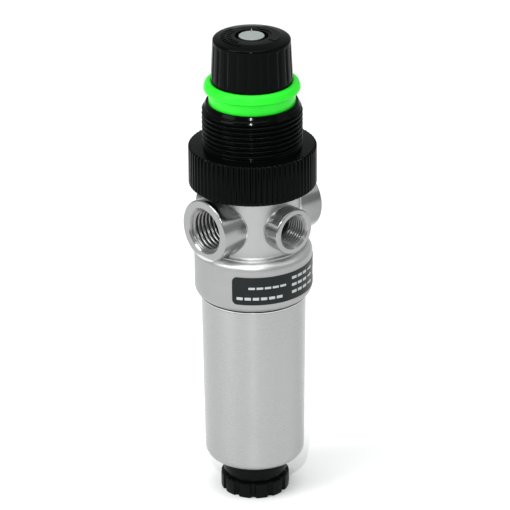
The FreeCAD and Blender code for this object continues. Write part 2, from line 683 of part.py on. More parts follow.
def make_valve_seat():
    ring = tube(VALVE_BORE_RADIUS - RUNNING, SEAT_ORIFICE_RADIUS, z_seat, z_seat_ledge)
    lip = tube(SEAT_ORIFICE_RADIUS + SEAT_LIP_WIDTH, SEAT_ORIFICE_RADIUS, z_lip, z_seat)
    return ring.fuse(lip).removeSplitter()


def make_valve_poppet():
    disc = cylinder(POPPET_RADIUS, z_poppet, z_poppet_top)
    nose = cylinder(NOSE_RADIUS, z_poppet, z_nose)
    stem = cylinder(POPPET_STEM_RADIUS, z_stem_end, z_poppet)
    return disc.fuse([nose, stem]).removeSplitter()


def make_poppet_seal():
    return tube(POPPET_RADIUS - SEAL_INSET, NOSE_RADIUS, z_poppet_top, z_lip)


def make_valve_spring():
    return coil(VALVE_SPRING_RADIUS, VALVE_SPRING_WIRE, z_guide_floor_top, z_poppet, VALVE_SPRING_TURNS)


def make_valve_guide():
    barrel = cylinder(VALVE_BORE_RADIUS - THREAD_FIT, z_guide_floor_top, z_seat)
    flange = cylinder(GUIDE_FLANGE_RADIUS, z_guide, z_guide_floor_top)
    stud = cylinder(STUD_RADIUS, z_stud, z_guide)
    stem_bore_end = z_stem_end - VALVE_TRAVEL - HEAD_ROOM
    passage = cylinder(GUIDE_PASSAGE_RADIUS, z_guide - PAST, z_guide_floor_top + PAST)
    passage.translate(Vector(GUIDE_PASSAGE_OFFSET, 0, 0))
    cuts = [
        cylinder(GUIDE_CAVITY_RADIUS, z_guide_floor_top, z_seat + PAST),
        cylinder(POPPET_STEM_RADIUS + RUNNING, stem_bore_end, z_guide_floor_top + PAST),
    ]
    return barrel.fuse([flange, stud]).cut(cuts + ring_of(passage, GUIDE_PASSAGES)).removeSplitter()


# ---------------------------------------------------------------- filter
def make_deflector():
    hub_bore = GUIDE_FLANGE_RADIUS + THREAD_FIT
    hub_radius = hub_bore + DEFLECTOR_WALL
    hub_foot = z_guide - DEFLECTOR_HUB_DROP
    lip = tube(hub_radius, VALVE_BORE_RADIUS + THREAD_FIT, z_guide_floor_top, z_ceiling)
    hub = tube(hub_radius, hub_bore, hub_foot, z_ceiling)
    vane_start = hub_radius - DEFLECTOR_WALL / 2
    vane = Part.makeBox(
        DEFLECTOR_RADIUS - vane_start, DEFLECTOR_VANE_THICKNESS, DEFLECTOR_VANE_HEIGHT,
        Vector(vane_start, -DEFLECTOR_VANE_THICKNESS / 2, hub_foot),
    )
    vane.rotate(Vector(0, 0, hub_foot + PAST), Vector(1, 0, 0), DEFLECTOR_PITCH)
    return lip.fuse([hub] + ring_of(vane, DEFLECTOR_VANES, 180 / DEFLECTOR_VANES)).removeSplitter()


def make_filter_element():
    return tube(ELEMENT_OUTER_RADIUS, ELEMENT_INNER_RADIUS, z_element, z_guide)


def make_element_baffle():
    """Cap nut under the element, with a skirt that keeps the caught water calm below it."""
    sleeve = STUD_RADIUS + BAFFLE_SLEEVE
    skirt_foot = z_element - BAFFLE_SLOPE
    return turned([
        (0, z_baffle),
        (sleeve, z_baffle),
        (sleeve, z_element - BAFFLE_RIM),
        (BAFFLE_RADIUS - BAFFLE_RIM, skirt_foot),
        (BAFFLE_RADIUS, skirt_foot + LOOSE),
        (BAFFLE_RADIUS - BAFFLE_SLEEVE, z_element),
        (STUD_RADIUS + RUNNING, z_element),
        (STUD_RADIUS + RUNNING, z_stud),
        (0, z_stud),
    ])


# ---------------------------------------------------------------- bowl and drain
def make_bowl():
    bead_top = z_collar + BOWL_BEAD_HEIGHT
    corner_radius = BOWL_BOTTOM_RADIUS - BOWL_CORNER
    corner_level = z_bowl + BOWL_CORNER
    inner_round = BOWL_CORNER - BOWL_WALL
    inner_bottom = BOWL_BOTTOM_RADIUS - BOWL_WALL
    inner_level = z_bowl_floor + inner_round
    return turned([
        (DRAIN_SPIGOT_RADIUS + RUNNING, z_bowl),
        (corner_radius, z_bowl),
        (*arc_middle(corner_radius, corner_level, BOWL_CORNER, -45), BOWL_BOTTOM_RADIUS, corner_level),
        (BOWL_TOP_RADIUS, z_collar),
        (BOWL_BEAD_RADIUS, z_collar),
        (BOWL_BEAD_RADIUS, bead_top),
        (BOWL_TOP_RADIUS, bead_top),
        (BOWL_TOP_RADIUS, z_bowl_top),
        (BOWL_BORE_RADIUS, z_bowl_top),
        (BOWL_BORE_RADIUS, z_collar),
        (inner_bottom, inner_level),
        (*arc_middle(corner_radius, inner_level, inner_round, -45), corner_radius, z_bowl_floor),
        (DRAIN_SPIGOT_RADIUS + RUNNING, z_bowl_floor),
    ])


def make_bowl_o_ring():
    half = BOWL_SEAL_GAP / 2
    return ring_seal(BOWL_TOP_RADIUS - half - RUNNING, half + RUNNING, z_bowl_top, z_ceiling)


def gasket_radii():
    """Inner and outer radius of the groove that the drain's gasket lies in."""
    inner = DRAIN_SPIGOT_RADIUS + GASKET_INSET
    return inner, inner + 2 * GASKET_WIRE_RADIUS + KEY_PLAY


def make_drain_body():
    groove_inner, groove_outer = gasket_radii()
    flange = cylinder(DRAIN_FLANGE_RADIUS, z_drain_flange, z_bowl)
    spigot = cylinder(DRAIN_SPIGOT_RADIUS, z_bowl, z_bowl + DRAIN_SPIGOT_RISE)
    return flange.fuse(spigot).cut([
        tube(groove_outer, groove_inner, z_gasket, z_bowl + PAST),
        cylinder(DRAIN_BORE_RADIUS, z_drain_flange - PAST, z_drain_seat),
        cylinder(DRAIN_OUTLET_RADIUS, z_drain_seat - PAST, z_bowl + DRAIN_SPIGOT_RISE + PAST),
    ]).removeSplitter()


def make_drain_gasket():
    return ring_seal(sum(gasket_radii()) / 2, GASKET_WIRE_RADIUS, z_gasket, z_bowl)


def make_drain_nut():
    top = z_bowl_floor + DRAIN_NUT_HEIGHT
    thread = cylinder(DRAIN_SPIGOT_RADIUS + RUNNING, z_bowl_floor - PAST, top + PAST)
    return hexagon(DRAIN_NUT_FLATS, z_bowl_floor, top).cut(thread)


def make_drain_stem():
    shoulder = z_drain_seat - DRAIN_SEAL_HEIGHT
    stem = cylinder(DRAIN_STEM_RADIUS, DRAIN_STEM_FOOT, shoulder)
    nose = cylinder(DRAIN_NOSE_RADIUS, shoulder, z_drain_seat - HEAD_ROOM)
    return stem.fuse(nose).cut(cylinder(DRAIN_HOLE_RADIUS, 0, DRAIN_HOLE_DEPTH)).removeSplitter()


def make_drain_seal():
    bottom = z_drain_seat - DRAIN_SEAL_HEIGHT
    return tube(DRAIN_STEM_RADIUS + DRAIN_SEAL_WALL, DRAIN_NOSE_RADIUS + RUNNING, bottom, z_drain_seat)


def make_drain_knob():
    rim = turned([
        (0, 0),
        (DRAIN_KNOB_RADIUS - DRAIN_KNOB_CHAMFER, 0),
        (DRAIN_KNOB_RADIUS, DRAIN_KNOB_CHAMFER),
        (DRAIN_KNOB_RADIUS, DRAIN_KNOB_HEIGHT - DRAIN_KNOB_CHAMFER),
        (DRAIN_KNOB_RADIUS - DRAIN_KNOB_CHAMFER, DRAIN_KNOB_HEIGHT),
        (0, DRAIN_KNOB_HEIGHT),
    ])
    notch = cylinder(DRAIN_NOTCH_RADIUS, -PAST, DRAIN_KNOB_HEIGHT + PAST)
    notch.translate(Vector(DRAIN_KNOB_RADIUS + THREAD_FIT, 0, 0))
    socket = cylinder(DRAIN_STEM_RADIUS, -PAST, DRAIN_KNOB_HEIGHT + PAST)
    return rim.cut([socket] + ring_of(notch, DRAIN_LOBES, 180 / DRAIN_LOBES))


PIECES = {
    "body": make_body,
    "bonnet": make_bonnet,
    "label": make_label,
    "knob": make_knob,
    "knob_disc": make_knob_disc,
    "lock_ring": make_lock_ring,
    "adjusting_screw": make_adjusting_screw,
    "screw_clip": make_screw_clip,
    "thrust_washer": make_thrust_washer,
    "spring_nut": make_spring_nut,
    "regulating_spring": make_regulating_spring,
    "slip_ring": make_slip_ring,
    "diaphragm": make_diaphragm,
    "diaphragm_plate": make_diaphragm_plate,
    "relief_seat": make_relief_seat,
    "valve_pin": make_valve_pin,
    "valve_seat": make_valve_seat,
    "valve_poppet": make_valve_poppet,
    "poppet_seal": make_poppet_seal,
    "valve_spring": make_valve_spring,
    "valve_guide": make_valve_guide,
    "deflector": make_deflector,
    "filter_element": make_filter_element,
    "element_baffle": make_element_baffle,
    "bowl": make_bowl,
    "bowl_o_ring": make_bowl_o_ring,
    "drain_body": make_drain_body,
    "drain_gasket": make_drain_gasket,
    "drain_nut": make_drain_nut,
    "drain_stem": make_drain_stem,
    "drain_seal": make_drain_seal,
    "drain_knob": make_drain_knob,
}


def main():
    os.makedirs("parts", exist_ok=True)
    for name, make in PIECES.items():
        shape = make()
        if shape.ShapeType == "Compound" and len(shape.Solids) == 1:
            shape = shape.Solids[0]
        shape.exportStep("parts/" + name + ".step")
        print(name, len(shape.Solids), shape.isValid(), round(shape.Volume, 1))


main()
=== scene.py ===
"""Looks of the miniature air filter/regulator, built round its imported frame. Metres, +Z up."""
import json
import math

import bmesh
import bpy
from mathutils import Matrix, Vector


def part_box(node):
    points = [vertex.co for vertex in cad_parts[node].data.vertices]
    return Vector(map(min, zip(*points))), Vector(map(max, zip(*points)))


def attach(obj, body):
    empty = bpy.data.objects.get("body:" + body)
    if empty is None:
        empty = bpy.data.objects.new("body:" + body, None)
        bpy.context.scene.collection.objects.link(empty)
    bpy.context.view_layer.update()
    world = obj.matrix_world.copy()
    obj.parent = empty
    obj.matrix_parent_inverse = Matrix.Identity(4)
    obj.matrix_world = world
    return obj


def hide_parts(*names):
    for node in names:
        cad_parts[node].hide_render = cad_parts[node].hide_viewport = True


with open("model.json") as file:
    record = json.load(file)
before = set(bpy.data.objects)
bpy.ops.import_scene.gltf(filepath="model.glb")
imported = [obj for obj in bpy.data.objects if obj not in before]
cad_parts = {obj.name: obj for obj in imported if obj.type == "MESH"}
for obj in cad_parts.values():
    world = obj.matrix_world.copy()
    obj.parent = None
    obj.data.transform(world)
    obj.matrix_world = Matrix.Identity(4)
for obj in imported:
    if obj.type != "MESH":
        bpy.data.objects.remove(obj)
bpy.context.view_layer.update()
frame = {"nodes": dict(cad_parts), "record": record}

MM = 0.001


# ---------------------------------------------------------------- levels and radii from the frame
def low(node):
    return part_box(node)[0].z


def high(node):
    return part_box(node)[1].z


def reach(node):
    """Largest radius of a node that is round about the main axis."""
    return max(v.co.xy.length for v in frame["nodes"][node].data.vertices)


mounts = {mount["name"]: mount for mount in frame["record"]["mounts"]}
NECK_RADIUS = mounts["panel_neck"]["dims"]["r_mm"] * MM
PORT_LEVEL = mounts["inlet_port"]["pos_m"][2]
SKIRT_BOTTOM = low("bonnet")
SKIRT_RADIUS = reach("bonnet")
TOWER_TOP = high("bonnet")
NECK_CHAMFER = 2.4  # height in mm
neck_middle = mounts["panel_neck"]["pos_m"][2]
neck_half = mounts["panel_neck"]["dims"]["length_mm"] * MM / 2
SKIRT_TOP = neck_middle - neck_half
NECK_TOP = neck_middle + neck_half + NECK_CHAMFER * MM
THREAD_PITCH = 1.5 * MM
WAIST_RADIUS = 14.1 * MM
WAIST_BOTTOM = PORT_LEVEL - 8.3 * MM
BEAD_DROP = 10.5  # from the bowl's top to its bead, in mm


# ---------------------------------------------------------------- shader expressions
class Value:
    """A node socket in an expression: each operator adds a Math node."""

    def __init__(self, finish, socket):
        self.finish = finish
        self.socket = socket

    def math(self, operation, *values):
        return self.finish.node("ShaderNodeMath", {"operation": operation}, dict(enumerate(values)))

    def __add__(self, other):
        return self.math("ADD", self, other)

    def __radd__(self, other):
        return self.math("ADD", other, self)

    def __sub__(self, other):
        return self.math("SUBTRACT", self, other)

    def __rsub__(self, other):
        return self.math("SUBTRACT", other, self)

    def __mul__(self, other):
        return self.math("MULTIPLY", self, other)

    def __pow__(self, other):
        return self.math("POWER", self, other)

    def __gt__(self, other):
        return self.math("GREATER_THAN", self, other)

    def __lt__(self, other):
        return self.math("LESS_THAN", self, other)

    def __abs__(self):
        return self.math("ABSOLUTE", self)


class Finish:
    """A material under construction, with the Principled shader that it ends in."""

    def __init__(self, name, **fixed):
        self.material = bpy.data.materials.new(name)
        self.material.use_nodes = True
        self.tree = self.material.node_tree
        self.tree.nodes.clear()
        self.output = self.tree.nodes.new("ShaderNodeOutputMaterial")
        self.shader = self.tree.nodes.new("ShaderNodeBsdfPrincipled")
        self.tree.links.new(self.shader.outputs[0], self.output.inputs["Surface"])
        for socket, value in fixed.items():
            self.shader.inputs[socket.replace("_", " ")].default_value = value
        coordinates = self.tree.nodes.new("ShaderNodeTexCoord")
        self.place = Value(self, coordinates.outputs["Object"])
        parts = self.tree.nodes.new("ShaderNodeSeparateXYZ")
        self.tree.links.new(self.place.socket, parts.inputs[0])
        self.x, self.y, self.z = (Value(self, socket) for socket in parts.outputs)

    def node(self, kind, settings=None, sockets=None, out=0):
        """Adds a node: its settings first, then the values or links of its sockets."""
        node = self.tree.nodes.new(kind)
        for name, value in (settings or {}).items():
            setattr(node, name, value)
        for key, value in (sockets or {}).items():
            if isinstance(value, Value):
                self.tree.links.new(value.socket, node.inputs[key])
            else:
                node.inputs[key].default_value = value
        return Value(self, node.outputs[out])

    def noise(self, scale, stretch=(1, 1, 1), detail=3.0, roughness=0.55):
        """Noise from 0 to 1 with features of about 1/scale metres, squeezed along each axis by stretch."""
        place = self.node(
            "ShaderNodeVectorMath", {"operation": "MULTIPLY"}, {0: self.place, 1: stretch}
        )
        return self.node(
            "ShaderNodeTexNoise",
            {},
            {"Vector": place, "Scale": scale, "Detail": detail, "Roughness": roughness},
        )

    def spread(self, value, low_in, high_in, low_out=0.0, high_out=1.0):
        """Eases from low_out to high_out while value goes from low_in to high_in."""
        return self.node(
            "ShaderNodeMapRange",
            {"interpolation_type": "SMOOTHSTEP"},
            {
                "Value": value,
                "From Min": low_in,
                "From Max": high_in,
                "To Min": low_out,
                "To Max": high_out,
            },
        )

    def mix(self, factor, first, second):
        """Colour that goes from first to second as factor goes from 0 to 1."""
        return self.node(
            "ShaderNodeMix", {"data_type": "RGBA"}, {0: factor, 6: first, 7: second}, out=2
        )

    def relief(self, height, depth, strength):
        """Bump of a height field, in metres for a height of 1."""
        return self.node("ShaderNodeBump", {}, {"Height": height, "Distance": depth, "Strength": strength})

    def feed(self, **links):
        """Links values to the shader's sockets, underscores standing for spaces, and gives the material."""
        for socket, value in links.items():
            self.tree.links.new(value.socket, self.shader.inputs[socket.replace("_", " ")])
        return self.material


def grey(level, warmth=0.0):
    """Neutral colour, with a little more red and less blue for a positive warmth."""
    return (level * (1 + warmth), level, level * (1 - warmth), 1.0)


# ---------------------------------------------------------------- finishes
def blasted_stainless():
    """Body casting, blasted to a fine grain; the bosses are smoother, with faint turning marks.

    Each zone has its own tone, and that tone is painted light and shade: the waist and bosses, the collar
    and the far side are painted darker, the shoulder lighter, and a painted highlight runs along the foot
    of each boss.
    """
    f = Finish("blasted_stainless", Metallic=1.0)
    grain = f.noise(5200, detail=2.0)
    mottle = f.noise(260, detail=4.0)
    radius = (f.x * f.x + f.y * f.y) ** 0.5
    foot_in = WAIST_RADIUS + 0.1 * MM
    foot_out = WAIST_RADIUS + 0.35 * MM

    beside_boss = (f.z > WAIST_BOTTOM) * (f.z < SKIRT_BOTTOM)
    on_boss = f.spread(radius, foot_in, foot_out) * beside_boss
    on_waist = f.spread(radius, foot_in, foot_out, 1.0, 0.0) * beside_boss
    far_side_shade = f.spread(f.x + f.y, 0.0, 8 * MM) * beside_boss
    on_collar = f.spread(f.z, high("label") + 1.6 * MM, high("label") + 3.6 * MM, 1.0, 0.0)
    on_shoulder = (1 - on_collar) * (f.z < WAIST_BOTTOM)
    # Painted light and shade by zone: the waist and bosses, the collar and the far side are painted darker,
    # and the shoulder is painted lighter.
    level = (0.47 + mottle * 0.08) * (1 - beside_boss * 0.36) * (1 + on_waist * 0.25)
    level = level * (1 - on_collar * 0.32) * (1 - far_side_shade * 0.2) * (1 + on_shoulder * 0.3)
    tone = f.mix(level, grey(0.0), grey(1.0))

    # Painted highlight: a light grey line along the foot of each boss, beside the waist.
    from_foot = abs(radius - WAIST_RADIUS - 0.3 * MM)
    painted_foot_highlight = f.spread(from_foot, 0.08 * MM, 0.22 * MM, 1.0, 0.0) * beside_boss
    tone = f.mix(painted_foot_highlight * 0.8, tone, grey(0.9))

    across_x = abs(f.x)
    across_y = abs(f.y)
    along = f.node(
        "ShaderNodeMix", {"data_type": "FLOAT"}, {0: across_x > across_y, 2: across_y, 3: across_x}
    )
    turned = f.node(
        "ShaderNodeTexNoise", {"noise_dimensions": "1D"}, {"W": along, "Scale": 9000.0, "Detail": 2.0}
    )
    height = grain * (1 - on_boss * 0.95 + on_shoulder * 0.8) + turned * (on_boss * 0.08)
    rough = 0.40 + (mottle - 0.5) * 0.10 - on_boss * 0.2
    return f.feed(Base_Color=tone, Roughness=rough, Normal=f.relief(height, 0.035 * MM, 0.55))


def turned_stainless():
    """Bowl: fine turning marks round the axis, a painted highlight on the bead and painted shade in the two
    seams beside it.
    """
    f = Finish("turned_stainless", Metallic=1.0, Anisotropic=0.9, Anisotropic_Rotation=0.25)
    marks = f.noise(60, stretch=(1, 1, 60), detail=4.0, roughness=0.6)
    patches = f.noise(90, stretch=(1, 1, 0.5), detail=3.0)
    tone = f.mix(patches, grey(0.36, 0.0), grey(0.42, -0.01))
    rim = high("bowl") - BEAD_DROP * MM
    # Painted shade darkens the seams above and below the bead; a painted highlight lightens the bead.
    seam_shade = f.spread(abs(f.z - rim - 0.3 * MM), 0.34 * MM, 0.5 * MM, 1.0, 0.0)
    bead = f.spread(abs(f.z - rim - 0.32 * MM), 0.12 * MM, 0.24 * MM, 1.0, 0.0)
    tone = f.mix(seam_shade, tone, grey(0.03))
    tone = f.mix(bead, tone, grey(0.62))
    rough = 0.28 + (patches - 0.5) * 0.10 + (marks - 0.5) * 0.10
    return f.feed(Base_Color=tone, Roughness=rough, Normal=f.relief(marks, 0.02 * MM, 0.5))


def threaded_stainless():
    """Cut pipe thread inside the ports; its dark tone is painted shade inside the bores."""
    f = Finish("threaded_stainless", Metallic=1.0)
    marks = f.noise(2500, detail=2.0)
    # Dark tone: painted shade inside the bores.
    tone = f.mix(marks, grey(0.20, 0.01), grey(0.30, 0.0))
    return f.feed(Base_Color=tone, Roughness=0.24 + marks * 0.1, Normal=f.relief(marks, 0.004 * MM, 0.3))


def glossy_black(name):
    """Moulded black plastic with a faint orange peel and a few dull handling patches."""
    f = Finish(name, IOR=1.46, Specular_IOR_Level=0.05)
    peel = f.noise(900, detail=2.0)
    haze = f.noise(120, detail=4.0)
    tone = f.mix(haze, (0.00096, 0.0012, 0.001224, 1), (0.00156, 0.00192, 0.00192, 1))
    rough = 0.12 + (haze - 0.5) * 0.10
    return f.feed(Base_Color=tone, Roughness=rough, Normal=f.relief(peel, 0.01 * MM, 0.35))


def green_plastic():
    """Bright green moulding; a little emission paints light into it, which keeps its shaded side saturated.
    """
    f = Finish("green_plastic", IOR=1.48, Specular_IOR_Level=0.2, Emission_Strength=0.08)
    # Painted light: a faint green glow.
    f.shader.inputs["Emission Color"].default_value = (0.02, 0.95, 0.03, 1)
    peel = f.noise(700, detail=2.0)
    cloud = f.noise(140, detail=3.0)
    tone = f.mix(cloud, (0.012, 0.62, 0.016, 1), (0.025, 0.74, 0.03, 1))
    return f.feed(Base_Color=tone, Roughness=0.26 + cloud * 0.1, Normal=f.relief(peel, 0.012 * MM, 0.4))


def matt_grey():
    """Disc in the knob: grey on its face, with painted shade that makes it near black down its side."""
    f = Finish("matt_grey_disc", IOR=1.45)
    grain = f.noise(3500, detail=3.0)
    cloud = f.noise(420, detail=3.0)
    tone = f.mix(cloud, (0.22, 0.245, 0.235, 1), (0.29, 0.32, 0.305, 1))
    # Painted shade: near black below the face's edge, down the disc's side.
    tone = f.mix(f.z < high("knob_disc") - 0.12 * MM, tone, grey(0.01))
    return f.feed(Base_Color=tone, Roughness=0.55 + grain * 0.15, Normal=f.relief(grain, 0.02 * MM, 0.5))


def label_film():
    """Black label film."""
    f = Finish("label_film", IOR=1.5, Specular_IOR_Level=0.2)
    grain = f.noise(2600, detail=2.0)
    cloud = f.noise(200, detail=3.0)
    tone = f.mix(cloud, (0.004, 0.006, 0.006, 1), (0.008, 0.012, 0.012, 1))
    return f.feed(Base_Color=tone, Roughness=0.34 + cloud * 0.1, Normal=f.relief(grain, 0.006 * MM, 0.4))


def label_ink():
    """Light grey print on the label."""
    f = Finish("label_ink", IOR=1.5)
    grain = f.noise(4200, detail=2.0)
    tone = f.mix(grain, (0.34, 0.37, 0.36, 1), (0.52, 0.55, 0.54, 1))
    return f.feed(Base_Color=tone, Roughness=0.4 + grain * 0.15)


def fine_metal(name, dark, bright, roughness):
    """Turned or drawn metal of the inner pieces."""
    f = Finish(name, Metallic=1.0)
    marks = f.noise(900, stretch=(1, 1, 6), detail=3.0)
    rough = roughness + marks * 0.12
    tone = f.mix(marks, dark, bright)
    return f.feed(Base_Color=tone, Roughness=rough, Normal=f.relief(marks, 0.01 * MM, 0.4))


def moulded(name, dark, bright, roughness, grain_size, depth, gloss=0.5):
    """Plain moulded, porous or rubbery pieces."""
    f = Finish(name, IOR=1.48, Specular_IOR_Level=gloss)
    grain = f.noise(1 / grain_size, detail=3.0)
    tone = f.mix(grain, dark, bright)
    return f.feed(Base_Color=tone, Roughness=roughness + grain * 0.12, Normal=f.relief(grain, depth, 0.6))


# ---------------------------------------------------------------- mesh helpers
def rounded(corners, closed=True, steps=5):
    """Outline of (radius, height) points in mm, with each corner's own rounding radius and tag.

    A corner is (radius, height), (radius, height, rounding) or (radius, height, rounding, tag). The tag
    belongs to the stretch that starts at the corner.
    """
    full = [(*corner, 0.0, None)[:4] if len(corner) == 2 else (*corner, None)[:4] for corner in corners]
    points = []
    count = len(full)
    for index, (r, z, rounding, tag) in enumerate(full):
        here = Vector((r, z))
        if rounding <= 0 or (not closed and index in (0, count - 1)):
            points.append((r, z, tag))
            continue
        before = Vector(full[index - 1][:2]) - here
        after = Vector(full[(index + 1) % count][:2]) - here
        half = before.angle(after) / 2
        setback = min(rounding / math.tan(half), before.length * 0.49, after.length * 0.49)
        radius = setback * math.tan(half)
        start = here + before.normalized() * setback
        end = here + after.normalized() * setback
        centre = here + (before.normalized() + after.normalized()).normalized() * (radius / math.sin(half))
        first = start - centre
        last = end - centre
        sweep = first.angle_signed(last)
        for step in range(steps + 1):
            turn = Matrix.Rotation(-sweep * step / steps, 2)
            spot = centre + turn @ first
            points.append((spot.x, spot.y, tag if step == steps else None))
    return points


def divide(points, tag, gap, closed=True):
    """Adds evenly spaced points, at most gap apart, along the stretches that carry a tag."""
    result = []
    count = len(points)
    for index, (r, z, mark) in enumerate(points):
        result.append((r, z, mark))
        if mark != tag or (not closed and index == count - 1):
            continue
        next_r, next_z, _ = points[(index + 1) % count]
        length = math.hypot(next_r - r, next_z - z)
        pieces = max(1, math.ceil(length / gap))
        for step in range(1, pieces):
            share = step / pieces
            result.append((r + (next_r - r) * share, z + (next_z - z) * share, tag))
    return result


def finish_mesh(name, vertices, faces, sharp):
    """Linked piece with outward normals, smooth but for edges above sharp degrees."""
    mesh = bpy.data.meshes.new(name)
    mesh.from_pydata(vertices, [], faces)
    mesh.validate()
    build = bmesh.new()
    build.from_mesh(mesh)
    bmesh.ops.recalc_face_normals(build, faces=build.faces)
    build.to_mesh(mesh)
    build.free()
    mesh.polygons.foreach_set("use_smooth", [True] * len(mesh.polygons))
    mesh.set_sharp_from_angle(angle=math.radians(sharp))
    piece = bpy.data.objects.new(name, mesh)
    bpy.context.scene.collection.objects.link(piece)
    return piece


def lathe(name, points, segments, shape=None, closed=True, sharp=32):
    """Turned piece from an outline in mm. shape(angle, radius, height, tag) may change a point's radius.

    A closed outline makes a ring; an open one starts and ends on the axis.
    """
    vertices = []
    rings = []
    for r, z, tag in points:
        if r < 1e-6:
            rings.append([len(vertices)])
            vertices.append((0, 0, z * MM))
            continue
        ring = []
        for index in range(segments):
            angle = 2 * math.pi * index / segments
            radius = shape(angle, r, z, tag) if shape and tag else r
            ring.append(len(vertices))
            vertices.append((radius * math.cos(angle) * MM, radius * math.sin(angle) * MM, z * MM))
        rings.append(ring)
    faces = []
    pairs = list(zip(rings, rings[1:] + (rings[:1] if closed else [])))
    if not closed:
        pairs = pairs[:len(rings) - 1]
    for lower, upper in pairs:
        for index in range(segments):
            following = (index + 1) % segments
            corner = [lower[index % len(lower)], lower[following % len(lower)]]
            corner += [upper[following % len(upper)], upper[index % len(upper)]]
            face = list(dict.fromkeys(corner))
            if len(face) > 2:
                faces.append(face)
    return finish_mesh(name, vertices, faces, sharp)


def join(name, pieces):
    """One piece from several, kept as separate shells in one mesh."""
    build = bmesh.new()
    for piece in pieces:
        build.from_mesh(piece.data)
        bpy.data.objects.remove(piece)
    mesh = bpy.data.meshes.new(name)
    build.to_mesh(mesh)
    build.free()
    joined = bpy.data.objects.new(name, mesh)
    bpy.context.scene.collection.objects.link(joined)
    return joined


def fit_out(piece, body, slot, material, *stands_for):
    """Gives a piece its finish, rides it on its body and hides the frame nodes that it replaces."""
    piece.data.materials.clear()
    piece.data.materials.append(material)
    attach(piece, body)
    for node in stands_for:
        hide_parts(node)
    return piece


def thread_depth(angle, height, pitch):
    """0 at a right-hand thread's crest and 1 at its root, softly rounded at both."""
    phase = (height / pitch - angle / (2 * math.pi)) % 1.0
    slope = min(1.0, max(0.0, (abs(phase - 0.5) * 2 - 0.06) / 0.88))
    return slope * slope * (3 - 2 * slope)


# ---------------------------------------------------------------- bonnet
def make_bonnet(material):
    """Ribbed skirt, threaded neck and spring tower in one moulding."""
    bottom = SKIRT_BOTTOM / MM
    top = SKIRT_TOP / MM
    neck_top = NECK_TOP / MM
    skirt = SKIRT_RADIUS / MM
    neck = NECK_RADIUS / MM
    tower_top = TOWER_TOP / MM
    ribs = 72
    points = rounded([
        (17.0, bottom, 0.15),
        (skirt - 0.55, bottom, 0.0),
        (skirt, bottom + 0.5, 0.0, "rib"),
        (skirt, top - 0.4, 0.0, "rib"),
        (skirt - 0.3, top - 0.08, 0.0, "rib"),
        (skirt - 0.75, top, 0.0),
        (neck - 0.35, top, 0.25),
        (neck - 0.35, top + 0.5, 0.1),
        (neck, top + 0.8, 0.0, "thread"),
        (neck, neck_top - NECK_CHAMFER, 0.0, "thread"),
        (neck - 1.3, neck_top, 0.2),
        (13.0, neck_top, 0.15),
        (13.0, neck_top - 11.0, 0.2),
        (9.0, neck_top - 11.0, 0.2),
        (9.0, tower_top, 0.3),
        (3.05, tower_top),
        (3.05, tower_top - 1.9),
        (7.6, tower_top - 1.9),
        (7.6, bottom + 9.25),
        (12.0, bottom + 9.25),
        (12.0, bottom + 5.65),
        (17.0, bottom + 5.65),
    ])
    points = divide(points, "thread", 0.115)

    def shape(angle, r, z, tag):
        if tag == "rib":
            share = (angle * ribs / (2 * math.pi)) % 1.0
            tooth = min(1.0, max(0.0, (abs(share - 0.5) * 2 - 0.30) / 0.35))
            return r - 0.5 * (1 - tooth)
        rise = min(1.0, max(0.0, (z - top - 0.8) / 0.9))
        depth = 0.86 * thread_depth(angle, z, THREAD_PITCH / MM) * rise
        cone = neck - max(0.0, z - (neck_top - NECK_CHAMFER)) * 1.3 / NECK_CHAMFER
        return min(r, cone, neck - depth)

    piece = lathe("bonnet_moulding", points, ribs * 8, shape, sharp=38)
    return fit_out(piece, "housing", "black_gloss", material, "bonnet")


# ---------------------------------------------------------------- knob, disc and ring
KNOB_FLUTES = 22
KNOB_FIRST_FLUTE = 222.1  # degrees from +X
MARK_RISE = 0.2  # of the marks on the crown, in mm


def make_knob(material):
    """Crowned cap with flutes round its side, a hub and the marks."""
    foot = low("knob") / MM + 6.0
    top = high("knob") / MM - MARK_RISE
    points = rounded([
        (9.9, foot - 6.0, 0.1),
        (10.9, foot - 6.0, 0.1),
        (10.9, foot, 0.05),
        (12.2, foot, 0.7),
        (12.12, foot + 2.2, 0.0, "flute"),
        (11.62, top - 2.0, 0.0, "flute"),
        (11.55, top - 0.75, 0.8),
        (7.9, top - 0.06, 1.2),
        (4.95, top - 0.02, 0.18),
        (4.7, top - 1.15, 0.15),
        (0.0, top - 1.15),
    ], closed=False)
    points = divide(points, "flute", 0.35, closed=False)
    inner = rounded([(5.2, top - 3.4), (5.2, foot + 1.25), (3.1, foot + 1.25), (3.1, top - 3.5)])
    run_in = foot + 1.4
    run_out = top - 2.6

    def shape(angle, r, z, tag):
        share = ((angle - math.radians(KNOB_FIRST_FLUTE)) * KNOB_FLUTES / (2 * math.pi)) % 1.0
        across = min(share, 1 - share) * 2
        groove = max(0.0, 1 - (across / 0.42) ** 2)
        ends = min(1.0, max(0.0, (z - run_in) / 0.8)) * min(1.0, max(0.0, (run_out + 0.9 - z) / 0.9))
        return r - 0.27 * groove * ends ** 0.5

    shell = [(0.0, top - 3.5, None), (9.9, top - 3.5, None)] + points
    piece = lathe("knob_cap", shell, KNOB_FLUTES * 16, shape, closed=False, sharp=40)
    hub = lathe("knob_hub", inner, 48)
    piece = join("knob_moulding", [piece, hub] + knob_marks(top))
    return fit_out(piece, "knob", "black_gloss", material, "knob")


def crown_height(radius, top):
    """Height of the knob's crowned top at a radius, in mm."""
    if radius < 7.9:
        return top - 0.02 - 0.04 * max(0.0, radius - 4.95) / 2.95
    return top - 0.06 - 0.69 * (radius - 7.9) / 3.65


